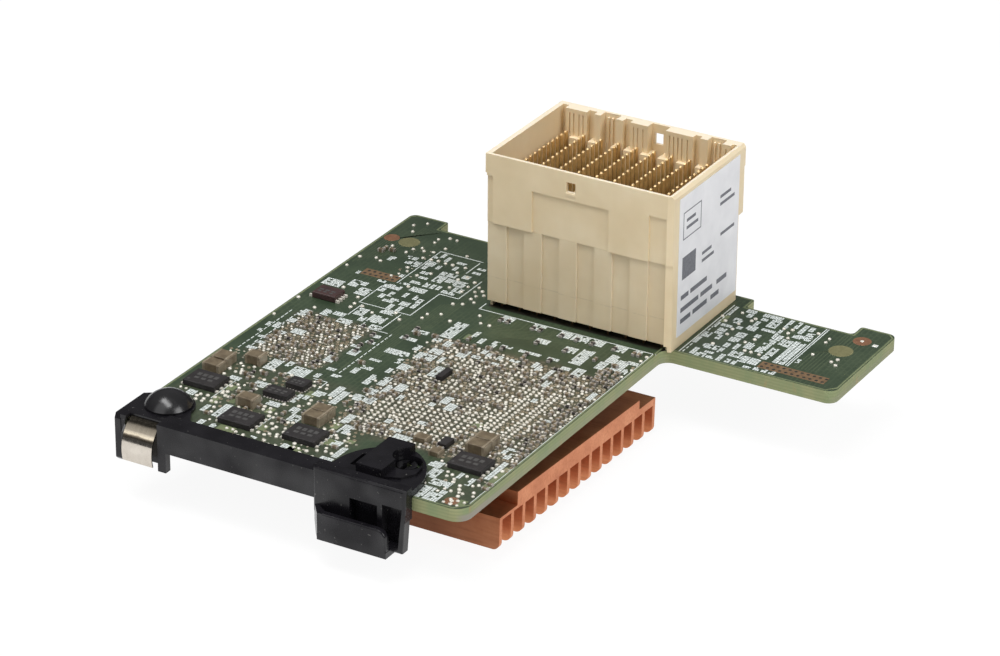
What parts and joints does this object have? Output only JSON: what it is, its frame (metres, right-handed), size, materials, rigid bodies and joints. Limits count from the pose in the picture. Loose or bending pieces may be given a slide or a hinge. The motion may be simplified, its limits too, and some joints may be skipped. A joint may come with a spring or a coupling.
{
  "type": "mezzanine network card",
  "caption": "Plug-in network card for a blade server: tabbed circuit board with a tall open contact header, black edge clip with hook and ground spring, and a finned copper heat sink below.",
  "frame": {"origin": "middle of the bounding box's floor, under the heat sink's lowest fin", "axes": "+Z from the board's underside up through the open mouth of the header, +Y from the clipped edge to the header, +X towards the side tab"},
  "size_m": [0.0842, 0.0836, 0.0376],
  "materials": {
    "board_laminate": "satin green solder mask over glass laminate",
    "housing_plastic": "smooth beige moulding",
    "wafer_plastic": "smooth beige moulding",
    "contact_gold": "gold plated",
    "label_paper": "white sticker",
    "clip_plastic": "satin black moulding",
    "rivet_plastic": "glossy black",
    "spring_steel": "bright rolled strip",
    "copper": "satin bare copper",
    "pad_gel": "soft grey gap filler",
    "package_laminate": "dark green package laminate",
    "lid_metal": "satin nickel",
    "chip_epoxy": "black moulding compound",
    "memory_epoxy": "dark moulding compound",
    "diode_epoxy": "black moulding compound",
    "tin": "tinned",
    "capacitor_ceramic": "fired tan ceramic with tinned ends",
    "resistor_ceramic": "dark film on ceramic",
    "ferrite": "pressed grey powder core",
    "capacitor_epoxy": "dark moulded case",
    "crystal_can": "drawn metal can"
  },
  "bodies": {
    "root": {"chip_resistors": "resistor_ceramic", "circuit_board": "board_laminate", "clock_crystal": "crystal_can", "companion_chip": "chip_epoxy", "connector_housing": "housing_plastic", "contact_leads_01": "contact_gold", "contact_leads_02": "contact_gold", "contact_leads_03": "contact_gold", "contact_leads_04": "contact_gold", "contact_leads_05": "contact_gold", "contact_leads_06": "contact_gold", "contact_leads_07": "contact_gold", "contact_leads_08": "contact_gold", "contact_leads_09": "contact_gold", "contact_leads_10": "contact_gold", "contact_wafer_01": "wafer_plastic", "contact_wafer_02": "wafer_plastic", "contact_wafer_03": "wafer_plastic", "contact_wafer_04": "wafer_plastic", "contact_wafer_05": "wafer_plastic", "contact_wafer_06": "wafer_plastic", "contact_wafer_07": "wafer_plastic", "contact_wafer_08": "wafer_plastic", "contact_wafer_09": "wafer_plastic", "contact_wafer_10": "wafer_plastic", "controller_lid": "lid_metal", "controller_substrate": "package_laminate", "dome_rivet": "rivet_plastic", "driver_chip": "chip_epoxy", "edge_clip": "clip_plastic", "grounding_spring": "spring_steel", "heat_sink": "copper", "large_capacitors": "capacitor_ceramic", "memory_chip": "memory_epoxy", "memory_leads": "tin", "polymer_capacitors": "capacitor_epoxy", "power_inductors": "ferrite", "power_transistors": "chip_epoxy", "regulator_chip": "chip_epoxy", "side_label": "label_paper", "small_capacitors": "capacitor_ceramic", "small_diodes": "diode_epoxy", "snap_pin": "rivet_plastic", "thermal_pad": "pad_gel", "transistor_leads": "tin", "underside_chips": "chip_epoxy"}
  },
  "joints": []
}
